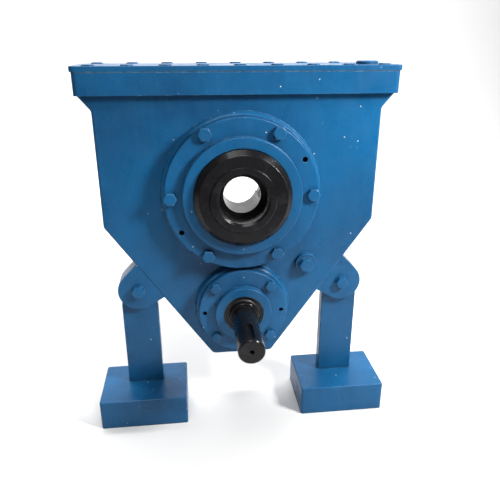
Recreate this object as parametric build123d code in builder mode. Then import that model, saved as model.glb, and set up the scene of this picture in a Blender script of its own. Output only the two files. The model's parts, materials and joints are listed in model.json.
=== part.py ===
from build123d import *
from math import acos, atan, atan2, cos, degrees, hypot, pi, radians, sin, sqrt, tan
import os

# Parallel-shaft gearbox: a hopper-shaped cast case with a bolted lid, a hollow keyed output
# shaft above a solid keyed input shaft, standing on two swing legs.
# Millimetres. +Z is up, the front of the gearbox faces -Y, and X = 0 is the plane of symmetry.
# The origin is on the ground, under the middle of the bounding box.

os.makedirs("parts", exist_ok=True)

# ---------------------------------------------------------------- driving dimensions
# Shaft centres and gears
module = 5.0
gear_teeth = 65
pinion_teeth = 17
pressure_angle = 20.0
tooth_thinning = 0.24
output_z = 411.5
input_z = output_z - module * (gear_teeth + pinion_teeth) / 2

# Case
case_front = 26.0
case_back = 90.0
wall = 12.0
side_x = 224.5
side_bottom_z = 359.0
bottom_half_width = 53.0
bottom_z = 110.0
neck_bottom_z = 543.0
flange_x = 246.0
flange_front = 14.0
flange_back = 128.0
flange_bottom_z = 566.0
flange_top_z = 598.5
lid_gasket_thickness = 1.0
lid_thickness = 8.0
lid_left_x = -248.5
lid_right_x = 248.5
corner_radius = 8.0

# Bearing seats and covers
boss_front = 14.0
land_back = 93.0
inner_boss_front = 71.0
gasket_thickness = 0.5
output_cover_radius = 123.5
output_cover_front_y = 2.0
output_ring_radius = 95.0
ring_front_y = -9.0
output_opening_radius = 78.2
output_bolt_circle = 114.0
input_cover_radius = 76.0
input_ring_radius = 48.5
input_bolt_circle = 66.0
rear_cover_y = 104.0

# Output shaft
output_bearing_bore = 110.0
output_bearing_od = 170.0
output_bearing_width = 19.0
hollow_end_radius = 52.5
hollow_bore_radius = 30.0
bore_recess_radius = 38.5
hollow_mouth_radius = 42.0
hollow_front_y = -23.0
hollow_back_y = 104.0
bore_front_y = 12.0
bore_back_y = 72.0
output_keyway_width = 18.0
output_keyway_top = 34.4
output_keyway_angle = 17.0

# Input shaft
input_bearing_bore = 55.0
input_bearing_od = 100.0
input_bearing_width = 21.0
input_end_radius = 21.0
input_journal_radius = 25.0
input_tip_y = -128.0
input_shoulder_y = -18.0

# Legs and feet. Each leg hangs in a slotted lug on the case.
pivot_x = 178.0
pivot_z = 243.0
ear_front = 27.0
ear_back = 67.0
slot_front = 37.0
slot_back = 57.0
ear_radius = 34.0
leg_swing_out = 60.0
ear_low_z = 229.0
ear_high_z = 292.0
leg_front = 37.3
leg_back = 56.7
leg_half_width = 31.0
leg_top_radius = 26.0
foot_half_width = 76.0
foot_x = 179.5
foot_front = -23.0
foot_back = 91.0
foot_height = 54.0
foot_slot_depth = 12.0

# Screws: across flats, head height, shank radius
m12 = (19.0, 7.5, 6.0)
m10 = (16.0, 6.4, 5.0)


# ---------------------------------------------------------------- helpers
def front_plane(y, z=0.0, x=0.0):
    """A plane facing the front, -Y, with local x along X and local y along Z."""
    return Plane(origin=(x, y, z), x_dir=(1, 0, 0), z_dir=(0, -1, 0))


def back_plane(y, z=0.0, x=0.0):
    """A plane facing the back, +Y, with local x along -X and local y along Z."""
    return Plane(origin=(x, y, z), x_dir=(-1, 0, 0), z_dir=(0, 1, 0))


def save(part, name):
    """Label a finished piece and write it to its own STEP file."""
    part.label = name
    export_step(part, f"parts/{name}.step")


def turned(profile, axis_z):
    """A solid turned about the shaft line at height axis_z. The profile holds (radius, y) points."""
    with BuildPart() as piece:
        with BuildSketch(Plane.XY.offset(axis_z)):
            Polygon(*profile, align=None)
        revolve(axis=Axis((0, 0, axis_z), (0, 1, 0)))
    return piece.part


def tube_profile(inner, outer, y_start, y_end):
    """The section of a plain ring, as (radius, y) points."""
    return [(inner, y_start), (outer, y_start), (outer, y_end), (inner, y_end)]


def ring_places(count, radius, start_angle=0.0):
    """Points on a circle, as local (x, y)."""
    angles = [radians(start_angle + 360 * i / count) for i in range(count)]
    return [(radius * cos(a), radius * sin(a)) for a in angles]


def hex_screw(size, length):
    """A hexagon head screw on +Z: the head stands on z = 0 and the shank runs down."""
    across_flats, head_height, shank_radius = size
    corner = across_flats / sqrt(3)
    bevel = 0.12 * across_flats
    with BuildPart() as screw:
        with BuildSketch():
            RegularPolygon(radius=corner, side_count=6)
        extrude(amount=head_height)
        with BuildSketch(Plane.XZ):
            Polygon((0, 0), (corner, 0), (corner, head_height - 0.5 * bevel),
                    (corner - bevel, head_height), (0, head_height), align=None)
        revolve(axis=Axis.Z, mode=Mode.INTERSECT)
        with BuildSketch():
            Circle(shank_radius)
        extrude(amount=-length)
    return screw.part


def copies(piece, planes):
    """Copies of one piece, one on each plane, as separate solids of one node."""
    with BuildPart() as group:
        with Locations(*[plane.location for plane in planes]):
            add(piece)
    return group.part


def involute_point(base_radius, radius, angle_at_base):
    """A point on an involute flank at the given radius."""
    roll = sqrt((radius / base_radius) ** 2 - 1)
    angle = angle_at_base + roll - atan(roll)
    return radius * cos(angle), radius * sin(angle)


def gear_outline(teeth, first_tooth_angle):
    """The outline of a spur gear. Call it inside a BuildLine."""
    pitch_radius = module * teeth / 2
    base_radius = pitch_radius * cos(radians(pressure_angle))
    tip_radius = pitch_radius + module
    root_radius = pitch_radius - 1.25 * module
    half_thickness = (pi * module / 2 - tooth_thinning) / 2
    involute_at_pitch = tan(radians(pressure_angle)) - radians(pressure_angle)
    half_angle_at_base = half_thickness / pitch_radius + involute_at_pitch
    flank_start = max(base_radius, root_radius + 0.4)
    flank_steps = 5
    radii = [flank_start + (tip_radius - flank_start) * i / flank_steps for i in range(flank_steps + 1)]
    flank = [involute_point(base_radius, r, -half_angle_at_base) for r in radii]
    start_angle = degrees(atan(flank[0][1] / flank[0][0]))
    root_foot = (root_radius * cos(radians(start_angle)), root_radius * sin(radians(start_angle)))
    pitch_angle = 360.0 / teeth
    for tooth in range(teeth):
        turn = first_tooth_angle + tooth * pitch_angle
        rising = [Vector(*p).rotate(Axis.Z, turn) for p in flank]
        falling = [Vector(x, -y).rotate(Axis.Z, turn) for x, y in flank]
        rising_foot = Vector(*root_foot).rotate(Axis.Z, turn)
        falling_foot = Vector(root_foot[0], -root_foot[1]).rotate(Axis.Z, turn)
        next_foot = Vector(*root_foot).rotate(Axis.Z, turn + pitch_angle)
        tip_middle = Vector(tip_radius, 0).rotate(Axis.Z, turn)
        gap_middle = Vector(root_radius, 0).rotate(Axis.Z, turn + pitch_angle / 2)
        Line(rising_foot, rising[0])
        Spline(*rising)
        ThreePointArc(rising[-1], tip_middle, falling[-1])
        Spline(*reversed(falling))
        Line(falling[0], falling_foot)
        ThreePointArc(falling_foot, gap_middle, next_foot)


def ball_bearing(name, bore, outside, width, ball_radius, balls, y_start, axis_z):
    """A deep-groove ball bearing: outer ring, inner ring, cage and balls, each in its own node."""
    pitch = (bore + outside) / 4
    middle = y_start + width / 2
    shoulder = 0.62 * ball_radius
    groove = ball_radius + 0.1
    race_plane = Plane.XY.offset(axis_z)
    race_axis = Axis((0, 0, axis_z), (0, 1, 0))
    for ring, low, high in (("outer", pitch + shoulder, outside / 2), ("inner", bore / 2, pitch - shoulder)):
        with BuildPart() as race:
            with BuildSketch(race_plane):
                Polygon(*tube_profile(low, high, y_start, y_start + width), align=None)
                with Locations((pitch, middle)):
                    Circle(groove, mode=Mode.SUBTRACT)
            revolve(axis=race_axis)
            chamfer(race.edges().filter_by(GeomType.CIRCLE).group_by(Axis.Y)[0], 0.6)
            chamfer(race.edges().filter_by(GeomType.CIRCLE).group_by(Axis.Y)[-1], 0.6)
        save(race.part, f"{name}_{ring}_ring")
    half_cage = min(width / 2 - 0.8, 1.25 * ball_radius)
    with BuildPart() as cage:
        with BuildSketch(race_plane):
            Polygon(*tube_profile(pitch - 0.3 * ball_radius, pitch + 0.3 * ball_radius,
                                  middle - half_cage, middle + half_cage), align=None)
        revolve(axis=race_axis)
        pocket_planes = [Plane(origin=(0, middle, axis_z), x_dir=(0, 1, 0), z_dir=(x, 0, z))
                         for x, z in ring_places(balls, 1)]
        with BuildSketch(*pocket_planes):
            Circle(ball_radius + 0.25)
        extrude(amount=outside / 2, mode=Mode.SUBTRACT)
    save(cage.part, f"{name}_cage")
    with BuildPart() as ball_set:
        with Locations(*[(x, middle, axis_z + z) for x, z in ring_places(balls, pitch)]):
            Sphere(ball_radius)
    save(ball_set.part, f"{name}_balls")


def lip_seal(name, bore, outside, y_start, y_end, axis_z, outward):
    """A lip seal with a dished face. outward is -1 for a seal whose face looks to the front."""
    face_y = y_start if outward < 0 else y_end
    back_y = y_end if outward < 0 else y_start
    inner = bore / 2 + 0.05
    outer = outside / 2
    span = outer - inner
    profile = [(outer, face_y - outward * 0.8), (outer - 0.8, face_y), (outer - 0.35 * span, face_y),
               (outer - 0.5 * span, face_y - outward * 2.0), (inner + 0.2 * span, face_y - outward * 2.0),
               (inner, face_y - outward * 0.6), (inner, face_y - outward * 3.5),
               (inner + 0.25 * span, back_y), (outer, back_y)]
    save(turned(profile, axis_z), name)


def case_side_x(z):
    """Half the width of the V-shaped bottom of the case at height z."""
    return bottom_half_width + (z - bottom_z) * (side_x - bottom_half_width) / (side_bottom_z - bottom_z)


def tangent_point(centre, radius, point, turn):
    """Where a line from a point touches a circle. turn is +1 or -1 and picks one of the two."""
    away = (point[0] - centre[0], point[1] - centre[1])
    angle = atan2(away[1], away[0]) + turn * acos(radius / hypot(*away))
    return centre[0] + radius * cos(angle), centre[1] + radius * sin(angle)


# ---------------------------------------------------------------- screws and their places
output_screw_places = ring_places(6, output_bolt_circle)
input_screw_places = ring_places(4, input_bolt_circle, 45)
output_jack_places = ring_places(2, output_bolt_circle, 30)
input_jack_places = ring_places(2, input_bolt_circle, 0)
lid_screw_pitch = 55.5
lid_screw_xs = [lid_screw_pitch * i for i in range(-4, 5)]
lid_screw_inset = 13.0
lid_screw_ys = (flange_front + lid_screw_inset, flange_back - lid_screw_inset)
lid_top_z = flange_top_z + lid_gasket_thickness + lid_thickness
spot_face_depth = 4.5

level_plug_x = 111.0
level_plug_z = 283.0
drain_plug_y = (case_front + case_back) / 2
breather_x = 202.0
breather_y = 50.0

# ---------------------------------------------------------------- case
case_outline = [
    (-flange_x + 2, flange_bottom_z), (-side_x, neck_bottom_z), (-side_x, side_bottom_z),
    (-bottom_half_width, bottom_z), (bottom_half_width, bottom_z), (side_x, side_bottom_z),
    (side_x, neck_bottom_z), (flange_x - 2, flange_bottom_z),
]
cavity_outline = [
    (-side_x + wall, flange_top_z), (-side_x + wall, side_bottom_z + 4),
    (-bottom_half_width + 7, bottom_z + wall), (bottom_half_width - 7, bottom_z + wall),
    (side_x - wall, side_bottom_z + 4), (side_x - wall, flange_top_z),
]
ear_centre = (pivot_x, pivot_z)
ear_low = (case_side_x(ear_low_z), ear_low_z)
ear_high = (case_side_x(ear_high_z), ear_high_z)
ear_outline = [
    (ear_low[0] - 6, ear_low_z), ear_low, tangent_point(ear_centre, ear_radius, ear_low, 1),
    ear_centre, tangent_point(ear_centre, ear_radius, ear_high, -1), ear_high, (ear_high[0] - 6, ear_high_z),
]
# The slot a leg swings in, measured from the pivot: its inner side follows the V of the case, and its
# roof follows the leg when that is swung right out.
slot_radius = 27.0
slot_roof_height = 29.5
v_angle = atan2(side_bottom_z - bottom_z, side_x - bottom_half_width)
slot_inner_top = (-slot_radius * sin(v_angle), slot_radius * cos(v_angle))
slot_inner_bottom = (slot_inner_top[0] - 60 * cos(v_angle), slot_inner_top[1] - 60 * sin(v_angle))
roof_angle = radians(leg_swing_out)
slot_roof_start = (slot_roof_height * cos(roof_angle), slot_roof_height * sin(roof_angle))
slot_roof_end = (slot_roof_start[0] + 40 * sin(roof_angle), slot_roof_start[1] - 40 * cos(roof_angle))
slot_outline = [slot_inner_top, slot_inner_bottom, (slot_inner_bottom[0], -70), (60, -70), (60, 0),
                slot_roof_end, slot_roof_start]
top_opening = (case_front + wall, 94.0)
top_opening_depth = 19.5
top_opening_middle_y = (top_opening[0] + top_opening[1]) / 2
top_opening_width = top_opening[1] - top_opening[0]

with BuildPart() as housing:
    # V-bottomed box with a splayed neck
    with BuildSketch(front_plane(case_back)) as outline:
        Polygon(*case_outline, align=None)
        fillet(outline.vertices().filter_by_position(Axis.Y, bottom_z - 1, neck_bottom_z + 1), 10)
    extrude(amount=case_back - case_front)
    fillet(housing.faces().sort_by(Axis.Y)[0].edges().filter_by_position(Axis.Z, 0, neck_bottom_z), 4)
    fillet(housing.faces().sort_by(Axis.Y)[-1].edges().filter_by_position(Axis.Z, 0, neck_bottom_z), 4)
    # Top flange
    with BuildSketch(Plane.XY.offset(flange_bottom_z)):
        with Locations((0, (flange_front + flange_back) / 2)):
            RectangleRounded(2 * flange_x, flange_back - flange_front, corner_radius)
    extrude(amount=flange_top_z - flange_bottom_z)
    # Bearing bosses at the front, machined lands at the back, and the level plug boss
    for centre_z, radius in ((output_z, output_cover_radius), (input_z, input_cover_radius)):
        with BuildSketch(Plane.XY.offset(centre_z)):
            Polygon((0, boss_front), (radius + 2, boss_front), (radius + 4, boss_front + 2),
                    (radius + 7, case_front), (radius + 7, case_front + wall), (0, case_front + wall), align=None)
        revolve(axis=Axis((0, 0, centre_z), (0, 1, 0)))
        with BuildSketch(back_plane(case_back, centre_z)):
            Circle(radius + 3)
        extrude(amount=land_back - case_back)
    with BuildSketch(front_plane(case_front, level_plug_z, level_plug_x)):
        Circle(19.5)
    extrude(amount=7, taper=12)
    # Slotted lugs that carry the legs
    for side in (-1, 1):
        with BuildSketch(front_plane(ear_back)):
            Polygon(*[(side * x, z) for x, z in ear_outline], align=None)
            with Locations((side * pivot_x, pivot_z)):
                Circle(ear_radius)
        extrude(amount=ear_back - ear_front)
        with BuildSketch(front_plane(slot_back, pivot_z, side * pivot_x)):
            Circle(slot_radius)
            Polygon(*[(side * x, z) for x, z in slot_outline], align=None)
        extrude(amount=slot_back - slot_front, mode=Mode.SUBTRACT)
    # Inside: the gear space, open to the top
    with BuildSketch(front_plane(case_back - wall)):
        Polygon(*cavity_outline, align=None)
    extrude(amount=case_back - case_front - 2 * wall, mode=Mode.SUBTRACT)
    with BuildSketch(Plane.XY.offset(flange_top_z)):
        with Locations((0, top_opening_middle_y)):
            RectangleRounded(2 * (side_x - wall), top_opening_width, 8)
    extrude(amount=-top_opening_depth, mode=Mode.SUBTRACT)
    # Bosses inside the rear wall
    for centre_z, outside in ((output_z, output_bearing_od), (input_z, input_bearing_od)):
        with BuildSketch(front_plane(case_back - wall, centre_z)):
            Circle(outside / 2 + 9)
        extrude(amount=case_back - wall - inner_boss_front)
    # Bearing bores, right through
    for centre_z, outside in ((output_z, output_bearing_od), (input_z, input_bearing_od)):
        with BuildSketch(front_plane(land_back + 1, centre_z)):
            Circle(outside / 2)
        extrude(amount=land_back - boss_front + 2, mode=Mode.SUBTRACT)
    # Tapped holes for the cover screws, front and back
    hole_depth = 20.0
    for make_plane, face_y, depth in ((front_plane, boss_front, hole_depth), (back_plane, land_back, 12.0)):
        with BuildSketch(make_plane(face_y, output_z)):
            with Locations(*output_screw_places):
                Circle(m12[2])
        extrude(amount=-depth, mode=Mode.SUBTRACT)
        with BuildSketch(make_plane(face_y, input_z)):
            with Locations(*input_screw_places):
                Circle(m10[2])
        extrude(amount=-depth, mode=Mode.SUBTRACT)
    # Tapped holes for the lid screws
    with BuildSketch(Plane.XY.offset(flange_top_z)):
        with Locations(*[(x, y) for x in lid_screw_xs for y in lid_screw_ys]):
            Circle(m10[2])
    extrude(amount=-19, mode=Mode.SUBTRACT)
    # Level plug, drain plug and pivot bolt holes
    with BuildSketch(front_plane(case_front - 7, level_plug_z, level_plug_x)):
        Circle(10)
    extrude(amount=-(wall + 7), mode=Mode.SUBTRACT)
    with BuildSketch(Plane.XY.offset(bottom_z)):
        with Locations((0, drain_plug_y)):
            Circle(10)
    extrude(amount=wall, mode=Mode.SUBTRACT)
    with BuildSketch(front_plane(ear_back)):
        with Locations((-pivot_x, pivot_z), (pivot_x, pivot_z)):
            Circle(m12[2])
    extrude(amount=ear_back - ear_front, mode=Mode.SUBTRACT)
save(housing.part, "housing")

# ---------------------------------------------------------------- lid
flange_middle_y = (flange_front + flange_back) / 2
with BuildPart() as lid_gasket:
    with BuildSketch(Plane.XY.offset(flange_top_z)):
        with Locations((0, flange_middle_y)):
            RectangleRounded(2 * flange_x, flange_back - flange_front, corner_radius)
        with Locations((0, top_opening_middle_y)):
            RectangleRounded(2 * (side_x - wall), top_opening_width, 8, mode=Mode.SUBTRACT)
        with Locations(*[(x, y) for x in lid_screw_xs for y in lid_screw_ys]):
            Circle(m10[2] + 0.5, mode=Mode.SUBTRACT)
    extrude(amount=lid_gasket_thickness)
save(lid_gasket.part, "lid_gasket")

with BuildPart() as lid:
    with BuildSketch(Plane.XY.offset(flange_top_z + lid_gasket_thickness)):
        with Locations(((lid_left_x + lid_right_x) / 2, flange_middle_y)):
            RectangleRounded(lid_right_x - lid_left_x, flange_back - flange_front, corner_radius)
    extrude(amount=lid_thickness)
    fillet(lid.faces().sort_by(Axis.Z)[-1].edges(), 1.2)
    with BuildSketch(Plane.XY.offset(lid_top_z)):
        with Locations(*[(x, y) for x in lid_screw_xs for y in lid_screw_ys]):
            Circle(10.5)
    extrude(amount=-spot_face_depth, mode=Mode.SUBTRACT)
    with BuildSketch(Plane.XY.offset(lid_top_z)):
        with Locations(*[(x, y) for x in lid_screw_xs for y in lid_screw_ys]):
            Circle(m10[2] + 0.5)
        with Locations((breather_x, breather_y)):
            Circle(7)
    extrude(amount=-lid_thickness, mode=Mode.SUBTRACT)
save(lid.part, "lid")

lid_screw = hex_screw(m10, 22)
lid_screw_planes = [Plane((x, y, lid_top_z - spot_face_depth)) for y in lid_screw_ys for x in lid_screw_xs]
save(copies(lid_screw, lid_screw_planes), "lid_screws")

with BuildPart() as breather:
    with BuildSketch(Plane.XY.offset(lid_top_z - lid_thickness)):
        with Locations((breather_x, breather_y)):
            Circle(7)
    extrude(amount=lid_thickness)
    with BuildSketch(Plane.XY.offset(lid_top_z)):
        with Locations((breather_x, breather_y)):
            Circle(17)
    extrude(amount=5)
    chamfer(breather.faces().sort_by(Axis.Z)[-1].edges(), 1.2)
    with BuildSketch(Plane.XY.offset(lid_top_z + 5)):
        with Locations((breather_x, breather_y)):
            Rectangle(20, 2.4)
    extrude(amount=-1.6, mode=Mode.SUBTRACT)
save(breather.part, "breather_cap")

# ---------------------------------------------------------------- plugs
plug = hex_screw((22.0, 9.0, 10.0), wall)
with BuildPart() as flanged_plug:
    add(plug)
    with BuildSketch():
        Circle(14)
    extrude(amount=2.5)
save(copies(flanged_plug.part, [front_plane(case_front - 7, level_plug_z, level_plug_x)]), "oil_level_plug")
drain_plane = Plane(origin=(0, drain_plug_y, bottom_z), x_dir=(1, 0, 0), z_dir=(0, 0, -1))
save(copies(flanged_plug.part, [drain_plane]), "drain_plug")

# ---------------------------------------------------------------- bearing covers, gaskets and seals
boss_face = boss_front - gasket_thickness
land_face = land_back + gasket_thickness


def bearing_cover(name, profile, axis_z, screw_places, screw_radius, jack_places, jack_radius, rounded_edges):
    """A round cover with screw holes and two jacking holes."""
    with BuildPart() as cover:
        with BuildSketch(Plane.XY.offset(axis_z)):
            Polygon(*profile, align=None)
        revolve(axis=Axis((0, 0, axis_z), (0, 1, 0)))
        for radius, y in rounded_edges:
            rim = [e for e in cover.edges().filter_by(GeomType.CIRCLE)
                   if abs(e.radius - radius) < 0.01 and abs(e.arc_center.Y - y) < 0.01]
            fillet(rim, 1.8)
        with BuildSketch(front_plane(200, axis_z)):
            with Locations(*screw_places):
                Circle(screw_radius + 0.5)
            with Locations(*jack_places):
                Circle(jack_radius)
        extrude(amount=400, mode=Mode.SUBTRACT)
    save(cover.part, name)


def cover_gasket(name, inner, outer, y_start, axis_z, screw_places, screw_radius):
    """A thin ring gasket with holes for the cover's screws."""
    with BuildPart() as gasket:
        with BuildSketch(front_plane(y_start + gasket_thickness, axis_z)):
            Circle(outer)
            Circle(inner, mode=Mode.SUBTRACT)
            with Locations(*screw_places):
                Circle(screw_radius + 0.5, mode=Mode.SUBTRACT)
        extrude(amount=gasket_thickness)
    save(gasket.part, name)


output_seat = output_bearing_od / 2
output_journal = output_bearing_bore / 2
output_bearing_front_y = 19.0
output_bearing_rear_y = 72.0
output_front_profile = [
    (output_opening_radius, ring_front_y), (output_ring_radius, ring_front_y),
    (output_ring_radius, output_cover_front_y), (output_cover_radius, output_cover_front_y),
    (output_cover_radius, boss_face), (output_seat - 0.05, boss_face),
    (output_seat - 0.05, output_bearing_front_y), (output_seat - 8, output_bearing_front_y),
    (output_seat - 10, 13.0), (64.0, 13.0), (64.0, 8.5), (70.0, 8.5), (70.0, -3.5),
    (output_opening_radius, -3.5),
]
bearing_cover("output_cover_front", output_front_profile, output_z, output_screw_places, m12[2],
              output_jack_places, 4.5,
              [(output_ring_radius, ring_front_y), (output_cover_radius, output_cover_front_y)])
cover_gasket("output_gasket_front", output_seat, output_cover_radius, boss_face, output_z,
             output_screw_places, m12[2])

output_rear_profile = [
    (70.0, rear_cover_y), (output_cover_radius, rear_cover_y), (output_cover_radius, land_face),
    (output_seat - 0.05, land_face), (output_seat - 0.05, 91.0), (output_seat - 8, 91.0),
    (output_seat - 8, 92.0), (64.0, 92.0), (64.0, 94.0), (70.0, 94.0),
]
bearing_cover("output_cover_rear", output_rear_profile, output_z, output_screw_places, m12[2],
              output_jack_places, 4.5, [(output_cover_radius, rear_cover_y)])
cover_gasket("output_gasket_rear", output_seat, output_cover_radius, land_back, output_z,
             output_screw_places, m12[2])

output_screw = hex_screw(m12, 26)
rear_screw = hex_screw(m12, 21)
front_output_planes = [front_plane(output_cover_front_y, output_z + z, x) for x, z in output_screw_places]
rear_output_planes = [back_plane(rear_cover_y, output_z + z, x) for x, z in output_screw_places]
with BuildPart() as output_screws:
    with Locations(*[plane.location for plane in front_output_planes]):
        add(output_screw)
    with Locations(*[plane.location for plane in rear_output_planes]):
        add(rear_screw)
save(output_screws.part, "output_cover_screws")

input_seat = input_bearing_od / 2
input_bearing_front_y = 17.0
input_bearing_rear_y = 71.0
input_seal_radius = 34.0
input_front_profile = [
    (input_seal_radius, ring_front_y), (input_ring_radius, ring_front_y),
    (input_ring_radius, output_cover_front_y), (input_cover_radius, output_cover_front_y),
    (input_cover_radius, boss_face), (input_seat - 0.05, boss_face),
    (input_seat - 0.05, input_bearing_front_y), (input_seat - 6, input_bearing_front_y),
    (input_seat - 8, 11.0), (29.0, 11.0), (29.0, 3.0), (input_seal_radius, 3.0),
]
bearing_cover("input_cover_front", input_front_profile, input_z, input_screw_places, m10[2],
              input_jack_places, 3.8,
              [(input_ring_radius, ring_front_y), (input_cover_radius, output_cover_front_y)])
cover_gasket("input_gasket_front", input_seat, input_cover_radius, boss_face, input_z,
             input_screw_places, m10[2])

input_rear_profile = [
    (0, rear_cover_y), (input_cover_radius, rear_cover_y), (input_cover_radius, land_face),
    (input_seat - 0.05, land_face), (input_seat - 0.05, 92.0), (input_seat - 6, 92.0),
    (input_seat - 6, 94.0), (0, 94.0),
]
bearing_cover("input_cover_rear", input_rear_profile, input_z, input_screw_places, m10[2],
              input_jack_places, 3.8, [(input_cover_radius, rear_cover_y)])
cover_gasket("input_gasket_rear", input_seat, input_cover_radius, land_back, input_z,
             input_screw_places, m10[2])

input_screw = hex_screw(m10, 26)
input_rear_screw = hex_screw(m10, 21)
front_input_planes = [front_plane(output_cover_front_y, input_z + z, x) for x, z in input_screw_places]
rear_input_planes = [back_plane(rear_cover_y, input_z + z, x) for x, z in input_screw_places]
with BuildPart() as input_screws:
    with Locations(*[plane.location for plane in front_input_planes]):
        add(input_screw)
    with Locations(*[plane.location for plane in rear_input_planes]):
        add(input_rear_screw)
save(input_screws.part, "input_cover_screws")

lip_seal("output_seal_front", 2 * hollow_end_radius, 140.0, -3.5, 8.5, output_z, -1)
lip_seal("output_seal_rear", 2 * hollow_end_radius, 140.0, 94.0, 104.0, output_z, 1)
lip_seal("input_seal", 2 * input_journal_radius, 2 * input_seal_radius, -7.0, 3.0, input_z, -1)

# ---------------------------------------------------------------- output shaft and gear
collar_front_y = output_bearing_front_y + output_bearing_width
gear_front_y = 41.0
gear_back_y = 69.0
gear_seat_radius = 58.0
gear_key_width = 28.0
gear_key_bottom = 50.0
gear_key_top = 64.0
mouth_chamfer = hollow_mouth_radius - bore_recess_radius

with BuildPart() as hollow_shaft:
    with BuildSketch(Plane.XY.offset(output_z)):
        Polygon((hollow_mouth_radius, hollow_front_y), (hollow_end_radius, hollow_front_y),
                (hollow_end_radius, output_bearing_front_y), (output_journal, output_bearing_front_y),
                (output_journal, collar_front_y), (64.0, collar_front_y), (64.0, gear_front_y),
                (gear_seat_radius, gear_front_y), (gear_seat_radius, gear_back_y),
                (output_journal, gear_back_y), (output_journal, output_bearing_rear_y + output_bearing_width),
                (hollow_end_radius, output_bearing_rear_y + output_bearing_width),
                (hollow_end_radius, hollow_back_y), (hollow_mouth_radius, hollow_back_y),
                (bore_recess_radius, hollow_back_y - mouth_chamfer), (bore_recess_radius, bore_back_y),
                (hollow_bore_radius, bore_back_y), (hollow_bore_radius, bore_front_y),
                (bore_recess_radius, bore_front_y), (bore_recess_radius, hollow_front_y + mouth_chamfer),
                align=None)
    revolve(axis=Axis((0, 0, output_z), (0, 1, 0)))
    front_rim = hollow_shaft.edges().filter_by(GeomType.CIRCLE).group_by(Axis.Y)[0].sort_by(
        lambda edge: edge.radius)[-1]
    fillet(front_rim, 2)
    with BuildSketch(front_plane(bore_back_y, output_z).rotated((0, 0, output_keyway_angle))):
        with Locations((output_keyway_top / 2, 0)):
            Rectangle(output_keyway_top, output_keyway_width)
    extrude(amount=bore_back_y - bore_front_y, mode=Mode.SUBTRACT)
    with BuildSketch(front_plane(gear_back_y, output_z)):
        with Locations((0, (gear_key_bottom + gear_key_top) / 2)):
            Rectangle(gear_key_width, gear_key_top - gear_key_bottom)
    extrude(amount=gear_back_y - gear_front_y, mode=Mode.SUBTRACT)
save(hollow_shaft.part, "hollow_shaft")

with BuildPart() as gear_key:
    with BuildSketch(front_plane(gear_back_y, output_z)):
        with Locations((0, (gear_key_bottom + gear_key_top) / 2)):
            Rectangle(gear_key_width, gear_key_top - gear_key_bottom)
    extrude(amount=gear_back_y - gear_front_y)
save(gear_key.part, "output_gear_key")

web_cut = 8.0
with BuildPart() as output_gear:
    with BuildSketch(front_plane(gear_back_y, output_z)):
        with BuildLine():
            gear_outline(gear_teeth, -90)
        make_face()
        Circle(gear_seat_radius, mode=Mode.SUBTRACT)
        with Locations(*ring_places(6, 112)):
            Circle(19, mode=Mode.SUBTRACT)
    extrude(amount=gear_back_y - gear_front_y)
    for plane in (front_plane(gear_front_y, output_z), back_plane(gear_back_y, output_z)):
        with BuildSketch(plane):
            Circle(143)
            Circle(84, mode=Mode.SUBTRACT)
        extrude(amount=-web_cut, taper=10, mode=Mode.SUBTRACT)
    with BuildSketch(front_plane(gear_back_y, output_z)):
        with Locations((0, (gear_key_bottom + gear_key_top) / 2)):
            Rectangle(gear_key_width, gear_key_top - gear_key_bottom)
    extrude(amount=gear_back_y - gear_front_y, mode=Mode.SUBTRACT)
save(output_gear.part, "output_gear")

save(turned(tube_profile(output_journal, 64.0, gear_back_y, output_bearing_rear_y), output_z),
     "output_spacer_ring")

# The flinger turns with the hollow shaft and covers the front seal.
flinger_radius = 77.5
flinger_chamfer = 8.0
flinger_front_y = -21.0
flinger_profile = [
    (hollow_end_radius, -4.5), (flinger_radius, -4.5), (flinger_radius, flinger_front_y + flinger_chamfer),
    (flinger_radius - flinger_chamfer, flinger_front_y), (hollow_end_radius, flinger_front_y),
]
with BuildPart() as flinger:
    add(turned(flinger_profile, output_z))
    fillet(flinger.edges().filter_by(GeomType.CIRCLE).filter_by(lambda edge: edge.radius > 60), 1.0)
save(flinger.part, "flinger_ring")

# ---------------------------------------------------------------- input shaft
pinion_front_y = 40.0
pinion_back_y = 69.0
input_bearing_seat = input_bearing_bore / 2
input_keyway_width = 12.0
input_keyway_length = 45.0
input_keyway_depth = 5.0
input_keyway_start = 5.0

with BuildPart() as input_shaft:
    with BuildSketch(Plane.XY.offset(input_z)):
        Polygon((0, input_tip_y), (input_end_radius - 2, input_tip_y), (input_end_radius, input_tip_y + 2),
                (input_end_radius, input_shoulder_y), (input_journal_radius - 1, input_shoulder_y),
                (input_journal_radius, input_shoulder_y + 1), (input_journal_radius, input_bearing_front_y),
                (input_bearing_seat, input_bearing_front_y), (input_bearing_seat, 38.0), (33.0, 38.0),
                (33.0, pinion_front_y), (33.0, input_bearing_rear_y), (input_bearing_seat, input_bearing_rear_y),
                (input_bearing_seat, 91.5), (0, 91.5), align=None)
    revolve(axis=Axis((0, 0, input_z), (0, 1, 0)))
    with BuildSketch(front_plane(pinion_back_y, input_z)):
        with BuildLine():
            gear_outline(pinion_teeth, 90 + 180 / pinion_teeth)
        make_face()
    extrude(amount=pinion_back_y - pinion_front_y)
    keyway_middle = input_tip_y + input_keyway_start + input_keyway_length / 2
    with BuildSketch(Plane.XY.offset(input_z + input_end_radius - input_keyway_depth)):
        with Locations((0, keyway_middle)):
            SlotOverall(input_keyway_length, input_keyway_width, rotation=90)
    extrude(amount=input_keyway_depth + 2, mode=Mode.SUBTRACT)
    with BuildSketch(front_plane(input_tip_y, input_z)):
        Circle(4)
    extrude(amount=-8, taper=25, mode=Mode.SUBTRACT)
save(input_shaft.part, "input_shaft")

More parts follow.
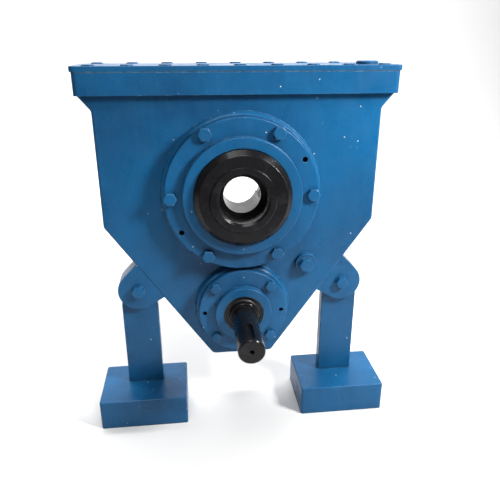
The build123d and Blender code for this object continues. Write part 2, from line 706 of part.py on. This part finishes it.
# ---------------------------------------------------------------- bearings
for place, y_start in (("front", output_bearing_front_y), ("rear", output_bearing_rear_y)):
    ball_bearing(f"output_bearing_{place}", output_bearing_bore, output_bearing_od, output_bearing_width,
                 7.0, 20, y_start, output_z)
for place, y_start in (("front", input_bearing_front_y), ("rear", input_bearing_rear_y)):
    ball_bearing(f"input_bearing_{place}", input_bearing_bore, input_bearing_od, input_bearing_width,
                 7.1, 10, y_start, input_z)

# ---------------------------------------------------------------- legs, feet and pivot bolts
washer_thickness = 2.5
nut_height = 10.0
leg_bottom_z = foot_height - foot_slot_depth
leg_middle_y = (leg_front + leg_back) / 2
foot_screw_offset = 17.0
foot_screw_head_radius = 8.0
foot_screw_head_height = 10.0
counterbore_depth = 12.0
foot_screw_length = 50.0
below = Plane(origin=(0, 0, 0), x_dir=(1, 0, 0), z_dir=(0, 0, -1))


def foot_screw_xs(side):
    """The two places along X of the screws that hold a leg in its foot."""
    return [side * pivot_x - foot_screw_offset, side * pivot_x + foot_screw_offset]


for side, name in ((-1, "left"), (1, "right")):
    with BuildPart() as leg:
        with BuildSketch(front_plane(leg_back)):
            with Locations((side * pivot_x, pivot_z)):
                Circle(leg_top_radius)
            with Locations((side * pivot_x, pivot_z)):
                Polygon((-leg_top_radius, 0), (-leg_half_width, -leg_half_width),
                        (-leg_half_width, leg_bottom_z - pivot_z), (leg_half_width, leg_bottom_z - pivot_z),
                        (leg_half_width, -leg_half_width), (leg_top_radius, 0), align=None)
                Circle(m12[2] + 0.05, mode=Mode.SUBTRACT)
        extrude(amount=leg_back - leg_front)
        long_edges = leg.edges().filter_by(Axis.Z)
        chamfer(long_edges, 1.0)
        with BuildSketch(Plane.XY.offset(leg_bottom_z)):
            with Locations(*[(x, leg_middle_y) for x in foot_screw_xs(side)]):
                Circle(m10[2])
        extrude(amount=24, mode=Mode.SUBTRACT)
    save(leg.part, f"{name}_leg")

    with BuildPart() as foot:
        with BuildSketch():
            with Locations((side * foot_x, (foot_front + foot_back) / 2)):
                Rectangle(2 * foot_half_width, foot_back - foot_front)
        extrude(amount=foot_height)
        fillet(foot.edges().filter_by(Axis.Z), 4)
        fillet(foot.faces().sort_by(Axis.Z)[-1].edges(), 2.5)
        with BuildSketch(Plane.XY.offset(foot_height)):
            with Locations((side * pivot_x, leg_middle_y)):
                Rectangle(2 * leg_half_width, leg_back - leg_front)
        extrude(amount=-foot_slot_depth, mode=Mode.SUBTRACT)
        with BuildSketch():
            with Locations(*[(x, leg_middle_y) for x in foot_screw_xs(side)]):
                Circle(foot_screw_head_radius + 1)
        extrude(amount=counterbore_depth, mode=Mode.SUBTRACT)
        with BuildSketch():
            with Locations(*[(x, leg_middle_y) for x in foot_screw_xs(side)]):
                Circle(m10[2] + 0.5)
        extrude(amount=foot_height, mode=Mode.SUBTRACT)
    save(foot.part, f"{name}_foot")

    with BuildPart() as foot_screws:
        with BuildSketch(Plane.XY.offset(counterbore_depth)):
            with Locations(*[(x, leg_middle_y) for x in foot_screw_xs(side)]):
                Circle(foot_screw_head_radius)
        extrude(amount=-foot_screw_head_height)
        with BuildSketch(Plane.XY.offset(counterbore_depth)):
            with Locations(*[(x, leg_middle_y) for x in foot_screw_xs(side)]):
                Circle(m10[2])
        extrude(amount=foot_screw_length)
        with BuildSketch(Plane.XY.offset(counterbore_depth - foot_screw_head_height)):
            with Locations(*[(x, leg_middle_y) for x in foot_screw_xs(side)]):
                RegularPolygon(radius=4.6, side_count=6)
        extrude(amount=6, mode=Mode.SUBTRACT)
    save(foot_screws.part, f"{name}_foot_screws")

washer_front_y = ear_front - washer_thickness
nut_front_y = ear_back + washer_thickness
pivot_bolt = hex_screw(m12, nut_front_y + nut_height + 3 - washer_front_y)

with BuildPart() as nut:
    with BuildSketch():
        RegularPolygon(radius=m12[0] / sqrt(3), side_count=6)
        Circle(m12[2], mode=Mode.SUBTRACT)
    extrude(amount=nut_height)
    with BuildSketch(Plane.XZ):
        Polygon((0, 0), (m12[0] / 2, 0), (m12[0] / sqrt(3), 1.2), (m12[0] / sqrt(3), nut_height - 1.2),
                (m12[0] / 2, nut_height), (0, nut_height), align=None)
    revolve(axis=Axis.Z, mode=Mode.INTERSECT)

for side, name in ((-1, "left"), (1, "right")):
    save(copies(pivot_bolt, [front_plane(washer_front_y, pivot_z, side * pivot_x)]), f"{name}_leg_bolt")
    save(copies(nut.part, [back_plane(nut_front_y, pivot_z, side * pivot_x)]), f"{name}_leg_nut")

with BuildPart() as washers:
    for y in (ear_front, nut_front_y):
        with BuildSketch(front_plane(y, pivot_z)):
            with Locations((-pivot_x, 0), (pivot_x, 0)):
                Circle(12)
            with Locations((-pivot_x, 0), (pivot_x, 0)):
                Circle(m12[2], mode=Mode.SUBTRACT)
        extrude(amount=washer_thickness)
save(washers.part, "leg_washers")
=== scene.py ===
import json
import math

import bpy
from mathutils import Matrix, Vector


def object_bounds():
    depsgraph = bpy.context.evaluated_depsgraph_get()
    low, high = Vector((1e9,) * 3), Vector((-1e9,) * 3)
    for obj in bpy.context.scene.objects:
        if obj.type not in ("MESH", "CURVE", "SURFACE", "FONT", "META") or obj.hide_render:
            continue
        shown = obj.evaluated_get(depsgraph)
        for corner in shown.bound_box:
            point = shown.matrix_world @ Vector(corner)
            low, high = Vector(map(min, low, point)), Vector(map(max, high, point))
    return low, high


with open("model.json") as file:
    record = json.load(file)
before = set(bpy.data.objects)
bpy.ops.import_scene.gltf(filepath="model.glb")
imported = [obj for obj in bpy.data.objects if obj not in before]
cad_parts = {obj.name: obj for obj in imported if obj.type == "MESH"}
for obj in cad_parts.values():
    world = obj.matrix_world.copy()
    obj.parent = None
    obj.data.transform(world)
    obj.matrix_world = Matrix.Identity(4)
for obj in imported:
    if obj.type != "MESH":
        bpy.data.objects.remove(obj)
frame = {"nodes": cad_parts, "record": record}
cad_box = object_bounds()

# ---------------------------------------------------------------- colours (linear) and light
BLUE = (0.004, 0.087, 0.215)
BLUE_DEEP = (0.006, 0.056, 0.142)
BLUE_CHALKY = (0.018, 0.115, 0.255)
# painted shade: the dark colour laid into hollows and corners of the blue paint
PAINTED_HOLLOW_SHADE = (0.020, 0.026, 0.034)
DUST = (0.46, 0.54, 0.60)
# painted highlight with edge wear: the pale blue laid along sharp edges
WORN_EDGE_HIGHLIGHT_BLUE = (0.17, 0.36, 0.50)
BLACK_STEEL = (0.0065, 0.0065, 0.0075)
SMEARED_STEEL = (0.022, 0.023, 0.026)
BLACK_RUBBER = (0.006, 0.006, 0.007)
DUSTY_RUBBER = (0.03, 0.032, 0.036)
BARE_STEEL = (0.42, 0.42, 0.43)
POLISHED_STEEL = (0.62, 0.62, 0.63)
ZINC = (0.55, 0.55, 0.53)
GASKET = (0.016, 0.024, 0.038)
GASKET_FIBRE = (0.030, 0.036, 0.045)
BRASS = (0.60, 0.42, 0.18)
BACKDROP = (0.62, 0.62, 0.62)

OUTPUT_AXIS_Z = frame["record"]["behaviour"]["joints"][0]["pos_m"][2]
INPUT_AXIS_Z = frame["record"]["behaviour"]["joints"][1]["pos_m"][2]


# ---------------------------------------------------------------- a small material builder
class Shader:
    """One procedural material, built node by node in the row frame's metres."""

    def __init__(self, name):
        self.material = bpy.data.materials.new(name)
        self.material.use_nodes = True
        self.tree = self.material.node_tree
        self.surface = self.tree.nodes["Principled BSDF"]
        self.place = self.add("ShaderNodeTexCoord").outputs["Object"]

    def add(self, kind, inputs=(), **settings):
        """A node with its settings, and its inputs given as (name or index, value or socket)."""
        node = self.tree.nodes.new(kind)
        for key, value in settings.items():
            setattr(node, key, value)
        for key, value in inputs:
            if isinstance(value, bpy.types.NodeSocket):
                self.tree.links.new(value, node.inputs[key])
            else:
                node.inputs[key].default_value = value
        return node

    def stretched(self, scale):
        """The place, scaled by a different factor along each axis."""
        return self.add("ShaderNodeMapping", [("Vector", self.place), ("Scale", scale)]).outputs[0]

    def noise(self, scale, detail=3.0, roughness=0.5, place=None):
        inputs = [("Vector", place or self.place), ("Scale", scale)]
        inputs += [("Detail", detail), ("Roughness", roughness)]
        return self.add("ShaderNodeTexNoise", inputs).outputs["Fac"]

    def math(self, operation, a, b=0.0, clamp=False):
        return self.add("ShaderNodeMath", [(0, a), (1, b)], operation=operation, use_clamp=clamp).outputs[0]

    def fit(self, value, low, high, to_low=0.0, to_high=1.0):
        """The value moved from the span low to high onto the span to_low to to_high, and clamped."""
        inputs = [("Value", value), ("From Min", low), ("From Max", high)]
        inputs += [("To Min", to_low), ("To Max", to_high)]
        return self.add("ShaderNodeMapRange", inputs, clamp=True).outputs[0]

    def mix(self, factor, a, b):
        """A colour between a and b."""
        node = self.add("ShaderNodeMix", [(0, factor)], data_type="RGBA")
        for index, colour in ((6, a), (7, b)):
            if isinstance(colour, bpy.types.NodeSocket):
                self.tree.links.new(colour, node.inputs[index])
            else:
                node.inputs[index].default_value = (*colour, 1.0)
        return node.outputs[2]

    def nibs(self, scale, share, size):
        """Small round specks: 1 at the middle of a few random cells and 0 elsewhere."""
        cells = self.add("ShaderNodeTexVoronoi", [("Vector", self.place), ("Scale", scale)])
        chosen = self.add("ShaderNodeSeparateColor", [(0, cells.outputs["Color"])]).outputs[0]
        near = self.fit(cells.outputs["Distance"], size, 0.3 * size)
        return self.math("MULTIPLY", near, self.math("LESS_THAN", chosen, share))

    def edges(self, radius):
        """1 along sharp edges of the shape and 0 on its flats."""
        rounded = self.add("ShaderNodeBevel", [("Radius", radius)], samples=6).outputs[0]
        flat = self.add("ShaderNodeNewGeometry").outputs["Normal"]
        dot = self.add("ShaderNodeVectorMath", [(0, rounded), (1, flat)], operation="DOT_PRODUCT")
        return self.fit(dot.outputs["Value"], 0.995, 0.80)

    def bump(self, height, distance, strength=1.0, normal=None):
        inputs = [("Height", height), ("Distance", distance), ("Strength", strength)]
        if normal is not None:
            inputs.append(("Normal", normal))
        return self.add("ShaderNodeBump", inputs).outputs[0]

    def radius_from(self, axis_z):
        """The distance from a shaft line that runs along Y at height axis_z."""
        away = self.add("ShaderNodeVectorMath", [(0, self.place), (1, (0, 0, axis_z))], operation="SUBTRACT")
        flat = self.add("ShaderNodeVectorMath", [(0, away.outputs[0]), (1, (1, 0, 1))], operation="MULTIPLY")
        return self.add("ShaderNodeVectorMath", [(0, flat.outputs[0])], operation="LENGTH").outputs["Value"]

    def finish(self, colour, roughness, normal=None, metallic=0.0, coat=0.0, coat_roughness=0.1,
               specular=0.5):
        """Set the surface's values or link them, and give back the material."""
        surface = self.surface
        for key, value in (("Base Color", colour), ("Roughness", roughness), ("Normal", normal)):
            if isinstance(value, bpy.types.NodeSocket):
                self.tree.links.new(value, surface.inputs[key])
            elif value is not None:
                surface.inputs[key].default_value = (*value, 1.0) if key == "Base Color" else value
        surface.inputs["Metallic"].default_value = metallic
        surface.inputs["Coat Weight"].default_value = coat
        surface.inputs["Coat Roughness"].default_value = coat_roughness
        surface.inputs["Specular IOR Level"].default_value = specular
        return self.material


# ---------------------------------------------------------------- materials
def blue_paint(name, cast_depth, swell_depth, worn_highlight_amount):
    """Blue enamel, with painted shade in its hollows and a painted highlight with wear along its edges.
    cast_depth is the grain of the metal under it, swell_depth its slow waves, in metres.
    """
    s = Shader(name)
    broad = s.fit(s.noise(5.0, 3.0), 0.35, 0.65)
    mottle = s.fit(s.noise(38.0, 4.0, 0.6), 0.35, 0.7)
    drag = s.fit(s.noise(1.0, 4.0, 0.6, s.stretched((160.0, 160.0, 9.0))), 0.4, 0.7)
    colour = s.mix(broad, BLUE_DEEP, BLUE)
    colour = s.mix(s.math("MULTIPLY", mottle, 0.22), colour, BLUE_CHALKY)
    colour = s.mix(s.math("MULTIPLY", drag, 0.12), colour, BLUE_CHALKY)
    # Painted shade: the paint is darkened in hollows and corners found by ambient occlusion, broken into
    # patches by noise; the same mask also roughens the paint there.
    hollows = s.add("ShaderNodeAmbientOcclusion", [("Distance", 0.012)], samples=8).outputs["AO"]
    patchy = s.fit(s.noise(60.0, 4.0, 0.65), 0.3, 0.65, 0.35, 1.0)
    hollow_shade_mask = s.math("MULTIPLY", s.fit(hollows, 0.75, 0.25), patchy)
    colour = s.mix(s.math("MULTIPLY", hollow_shade_mask, 0.75), colour, PAINTED_HOLLOW_SHADE)
    # Painted highlight with edge wear: a pale sky blue along sharp edges, in uneven patches, stands in both
    # for the bright rims the key light catches and for paint worn thin.
    worn_highlight_edges = s.math("MULTIPLY", s.edges(0.0016), s.fit(s.noise(75.0, 5.0, 0.7), 0.46, 0.60))
    colour = s.mix(s.math("MULTIPLY", worn_highlight_edges, worn_highlight_amount), colour, WORN_EDGE_HIGHLIGHT_BLUE)
    specks = s.nibs(85.0, 0.13, 0.13)
    colour = s.mix(s.math("MULTIPLY", specks, 0.8), colour, DUST)
    roughness = s.fit(s.noise(24.0, 5.0, 0.6), 0.3, 0.7, 0.22, 0.42)
    roughness = s.math("ADD", roughness, s.math("MULTIPLY", hollow_shade_mask, 0.3), clamp=True)
    rounded = s.add("ShaderNodeBevel", [("Radius", 0.0009)], samples=6).outputs[0]
    waves = s.bump(s.noise(21.0, 2.0, 0.4), swell_depth, normal=rounded)
    grain = s.bump(s.noise(330.0, 3.0, 0.55), cast_depth, normal=waves)
    nibbed = s.bump(specks, 0.0006, normal=grain)
    return s.finish(colour, roughness, nibbed, specular=0.22)


def black_steel(name, axis_z, pitch):
    """Black glossy steel, turned on a lathe: fine rings about the shaft line at height axis_z."""
    s = Shader(name)
    rings = s.math("SINE", s.math("MULTIPLY", s.radius_from(axis_z), 2 * math.pi / pitch))
    smear = s.noise(45.0, 4.0, 0.6)
    specks = s.nibs(85.0, 0.04, 0.06)
    colour = s.mix(s.fit(smear, 0.55, 0.75, 0.0, 0.35), BLACK_STEEL, SMEARED_STEEL)
    colour = s.mix(s.math("MULTIPLY", specks, 0.7), colour, DUST)
    roughness = s.fit(smear, 0.3, 0.7, 0.13, 0.34)
    rounded = s.add("ShaderNodeBevel", [("Radius", 0.0008)], samples=6).outputs[0]
    turned = s.bump(rings, 0.00003, normal=rounded)
    uneven = s.bump(s.noise(60.0, 3.0, 0.5), 0.0004, normal=turned)
    nibbed = s.bump(specks, 0.0005, normal=uneven)
    return s.finish(colour, roughness, nibbed, coat=0.06, coat_roughness=0.08, specular=0.18)


def black_rubber(name):
    """Smooth black rubber with a little dust on it."""
    s = Shader(name)
    dusty = s.fit(s.noise(120.0, 4.0, 0.6), 0.5, 0.75, 0.0, 0.25)
    colour = s.mix(dusty, BLACK_RUBBER, DUSTY_RUBBER)
    roughness = s.fit(s.noise(70.0, 3.0), 0.3, 0.7, 0.35, 0.55)
    return s.finish(colour, roughness, s.bump(s.noise(500.0, 2.0), 0.0001))


def fibre_gasket(name):
    """Dark compressed fibre sheet."""
    s = Shader(name)
    colour = s.mix(s.fit(s.noise(400.0, 3.0, 0.7), 0.3, 0.7), GASKET, GASKET_FIBRE)
    return s.finish(colour, 0.85, s.bump(s.noise(900.0, 2.0), 0.0001))


TURNING_PITCH = 0.0007


def machined(name, colour, axis_z, rough_low, rough_high):
    """Bare machined metal with fine turning rings and an oil film."""
    s = Shader(name)
    rings = s.math("SINE", s.math("MULTIPLY", s.radius_from(axis_z), 2 * math.pi / TURNING_PITCH))
    film = s.noise(30.0, 4.0, 0.6)
    tinted = tuple(0.72 * c for c in colour)
    blend = s.mix(s.fit(film, 0.35, 0.7), colour, tinted)
    return s.finish(blend, s.fit(film, 0.3, 0.7, rough_low, rough_high), s.bump(rings, 0.00002), metallic=1.0)


MATERIALS = {
    "case_paint": blue_paint("cast blue paint", cast_depth=0.00022, swell_depth=0.0011, worn_highlight_amount=0.6),
    "leg_paint": blue_paint("plate blue paint", cast_depth=0.00012, swell_depth=0.0008, worn_highlight_amount=0.6),
    "painted_fastener": blue_paint("screw blue paint", cast_depth=0.00008, swell_depth=0.0004, worn_highlight_amount=0.6),
    "seal_rubber": black_rubber("black rubber"),
    "gasket": fibre_gasket("fibre gasket"),
    "gear_steel": machined("gear steel", BARE_STEEL, OUTPUT_AXIS_Z, 0.2, 0.38),
    "bearing_steel": machined("bearing steel", POLISHED_STEEL, OUTPUT_AXIS_Z, 0.1, 0.22),
    "cage_steel": machined("cage brass", BRASS, OUTPUT_AXIS_Z, 0.2, 0.35),
    "zinc_screw": machined("zinc screw", ZINC, INPUT_AXIS_Z, 0.25, 0.45),
}
BLACK = {
    "hollow_shaft": black_steel("black hollow shaft", OUTPUT_AXIS_Z, 0.0011),
    "flinger_ring": black_steel("black flinger", OUTPUT_AXIS_Z, 0.0013),
    "input_shaft": black_steel("black input shaft", INPUT_AXIS_Z, 0.0008),
}

for entry in frame["record"]["subparts"]:
    node, slot = entry["node"], entry["material_slot"]
    material = BLACK[node] if node in BLACK else MATERIALS[slot]
    mesh = frame["nodes"][node].data
    mesh.materials.clear()
    mesh.materials.append(material)


# ---------------------------------------------------------------- floor and backdrop
def backdrop():
    """A pale floor that curves up into a wall behind the gearbox."""
    low = cad_box[0].z
    bend, front, back, half_width, height = 0.9, -1.1, 2.6, 6.0, 5.0
    steps = 16
    line = [(front, low), (back, low)]
    for i in range(1, steps + 1):
        angle = math.pi / 2 * i / steps
        line.append((back + bend * math.sin(angle), low + bend * (1 - math.cos(angle))))
    line.append((back + bend, low + height))
    points = [(x, y, z) for y, z in line for x in (-half_width, half_width)]
    faces = [(2 * i, 2 * i + 1, 2 * i + 3, 2 * i + 2) for i in range(len(line) - 1)]
    mesh = bpy.data.meshes.new("studio_floor")
    mesh.from_pydata(points, [], faces)
    for face in mesh.polygons:
        face.use_smooth = True
    floor = bpy.data.objects.new("studio_floor", mesh)
    bpy.context.scene.collection.objects.link(floor)
    s = Shader("pale backdrop")
    mesh.materials.append(s.finish(BACKDROP, 0.9, specular=0.1))


backdrop()


# ---------------------------------------------------------------- light
def area_light(name, place, target, size, power, colour):
    """A rectangular lamp at a place, aimed at a target; size is its width and height in metres."""
    data = bpy.data.lights.new(name, "AREA")
    data.shape = "RECTANGLE"
    data.size, data.size_y = size
    data.energy = power
    data.color = colour
    lamp = bpy.data.objects.new(name, data)
    bpy.context.scene.collection.objects.link(lamp)
    lamp.location = place
    lamp.rotation_euler = (Vector(target) - Vector(place)).to_track_quat("-Z", "Y").to_euler()


middle = (cad_box[0] + cad_box[1]) / 2
area_light("key", (0.80, -0.52, 0.98), middle, (0.24, 0.24), 23.5, (1.0, 0.99, 0.98))
area_light("fill", (0.1, -2.3, 1.0), middle, (1.4, 1.2), 1.0, (1.0, 1.0, 1.0))
area_light("top", (-0.2, -0.8, 2.3), middle, (1.1, 0.8), 25.0, (1.0, 1.0, 1.0))
area_light("wall", (0.0, 1.0, 3.2), (0.0, 3.3, 0.9), (3.5, 1.0), 290.0, (1.0, 1.0, 1.0))

world = bpy.data.worlds.new("studio")
world.use_nodes = True
world.node_tree.nodes["Background"].inputs["Color"].default_value = (1.0, 1.0, 1.0, 1.0)
world.node_tree.nodes["Background"].inputs["Strength"].default_value = 0.12
bpy.context.scene.world = world
bpy.context.scene.view_settings.view_transform = "Standard"


# ---------------------------------------------------------------- camera
def camera():
    """Seen from the front left, a little above the lid, looking down."""
    data = bpy.data.cameras.new("camera")
    data.lens = 37.7
    data.sensor_width = 36.0
    data.clip_end = 50.0
    view = bpy.data.objects.new("camera", data)
    bpy.context.scene.collection.objects.link(view)
    view.location = (-0.07926, -0.79621, 0.63885)
    view.rotation_euler = (math.radians(68.37), 0.0, math.radians(-6.5))
    bpy.context.scene.camera = view


camera()
